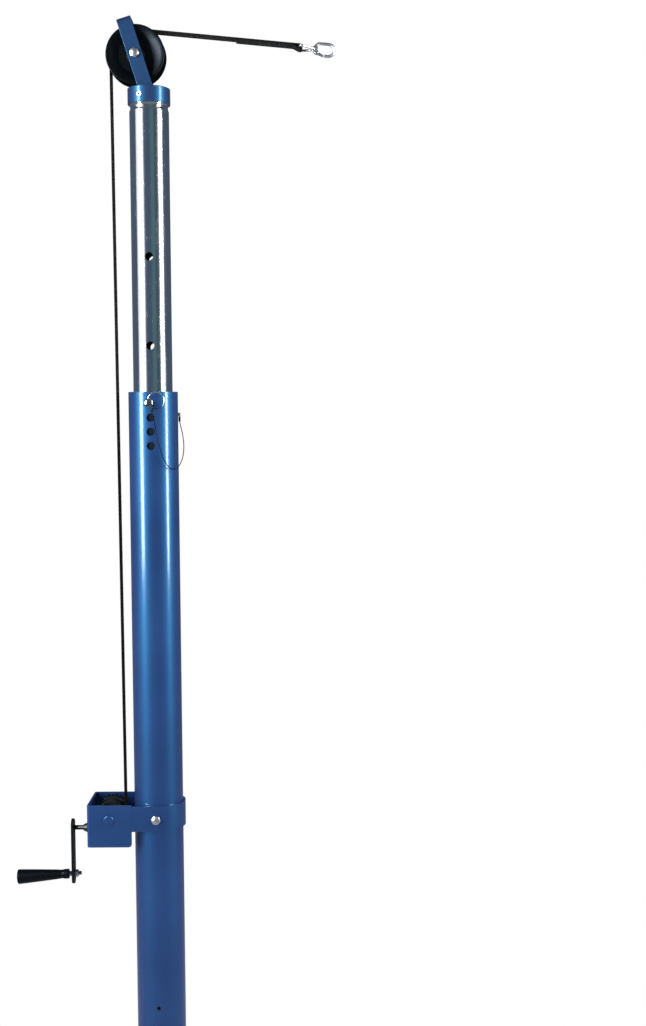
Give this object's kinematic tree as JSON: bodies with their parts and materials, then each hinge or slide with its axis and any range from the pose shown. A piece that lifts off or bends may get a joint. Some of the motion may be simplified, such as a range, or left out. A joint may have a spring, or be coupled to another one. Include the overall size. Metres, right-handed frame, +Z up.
{
  "type": "volleyball net post",
  "caption": "Telescoping net post with a chrome mast, pulley head, ringed lock pin on a lanyard, and a worm-gear winch whose crank pulls a strap with a snap hook.",
  "frame": {"origin": "centre of the foot plug's flat underside, on the post's axis", "axes": "+Z up the post, +X towards the net, -Y the front, on which the pin holes face"},
  "size_m": [0.5157, 0.1095, 2.7055],
  "materials": {
    "blue_paint": "glossy powder coat",
    "chrome_plate": "bright plating",
    "zinc_steel": "bright zinc plating",
    "cast_zinc": "satin plated casting",
    "oiled_steel": "dark oiled",
    "lanyard_cable": "stranded wire",
    "bronze": "machined",
    "black_paint": "satin",
    "black_plastic": "moulded satin",
    "black_webbing": "woven",
    "white_nylon": "moulded satin",
    "black_rubber": "matte"
  },
  "bodies": {
    "post": {"outer_tube": "blue_paint", "foot_plug": "black_rubber", "tube_top_bush": "white_nylon", "mast_stop_pin": "zinc_steel", "winch_housing": "blue_paint", "clamp_band": "blue_paint", "clamp_screw_front": "zinc_steel", "clamp_screw_back": "zinc_steel", "drum_axle": "blue_paint", "axle_clip": "oiled_steel", "shaft_bush": "oiled_steel", "worm_bearing": "oiled_steel", "strap_rise": "black_webbing", "lanyard": "lanyard_cable", "lanyard_anchor": "zinc_steel", "lanyard_post_end": "lanyard_cable"},
    "mast": {"mast_tube": "chrome_plate", "mast_foot_guide": "white_nylon", "head_collar": "blue_paint", "collar_set_screw": "zinc_steel", "pulley_bracket": "blue_paint", "pulley_axle": "zinc_steel", "axle_nut": "zinc_steel", "pulley_washer_front": "zinc_steel", "pulley_washer_back": "zinc_steel", "strap_lead": "black_webbing", "snap_hook": "cast_zinc", "gate_pin": "zinc_steel"},
    "pulley": {"pulley": "black_plastic", "pulley_bush": "bronze"},
    "drum": {"winch_drum": "oiled_steel", "strap_core": "black_webbing", "strap_roll": "black_webbing", "worm_wheel": "bronze"},
    "crank": {"worm_shaft": "oiled_steel", "crank_arm": "black_paint", "grip_spindle": "chrome_plate", "spindle_nut": "zinc_steel"},
    "grip": {"crank_grip": "black_plastic"},
    "lock_pin": {"lock_pin": "chrome_plate"},
    "ring": {"pin_ring": "zinc_steel", "lanyard_pin_end": "lanyard_cable"},
    "gate": {"hook_gate": "cast_zinc"}
  },
  "joints": [
    {"name": "mast_slide", "type": "slide", "parent": "post", "child": "mast", "axis": [0, 0, 1], "range_m": [-0.4355, 0], "deforming": ["strap_rise"]},
    {"name": "crank_spin", "type": "hinge", "parent": "post", "child": "crank", "pos_m": [-0.1406, 0.022, 1.4454], "axis": [1, 0, 0], "continuous": true},
    {"name": "drum_spin", "type": "hinge", "parent": "post", "child": "drum", "pos_m": [-0.0736, 0, 1.4749], "axis": [0, 1, 0], "continuous": true},
    {"name": "pulley_spin", "type": "hinge", "parent": "mast", "child": "pulley", "pos_m": [-0.0185, 0, 2.6478], "axis": [0, 1, 0], "continuous": true},
    {"name": "grip_spin", "type": "hinge", "parent": "crank", "child": "grip", "pos_m": [-0.1406, 0.022, 1.3705], "axis": [0.9983, 0, 0.0576], "continuous": true},
    {"name": "pin_slide", "type": "slide", "parent": "post", "child": "lock_pin", "axis": [0, 1, 0], "range_m": [-0.03, 0.0125], "deforming": ["lanyard"]},
    {"name": "ring_swing", "type": "hinge", "parent": "lock_pin", "child": "ring", "pos_m": [0, -0.0564, 2.1199], "axis": [0.342, 0, -0.9397], "range_deg": [-15, 105]},
    {"name": "gate_swing", "type": "hinge", "parent": "mast", "child": "gate", "pos_m": [0.25666, 0, 2.65137], "axis": [0, -1, 0], "range_deg": [0, 30], "stiffness_Nm_per_rad": 0.004, "springref_deg": -45.84}
  ],
  "couplings": [
    {"joint": "drum_spin", "follows": "crank_spin", "ratio": 0.041667},
    {"joint": "pulley_spin", "follows": "crank_spin", "ratio": -0.023316}
  ]
}
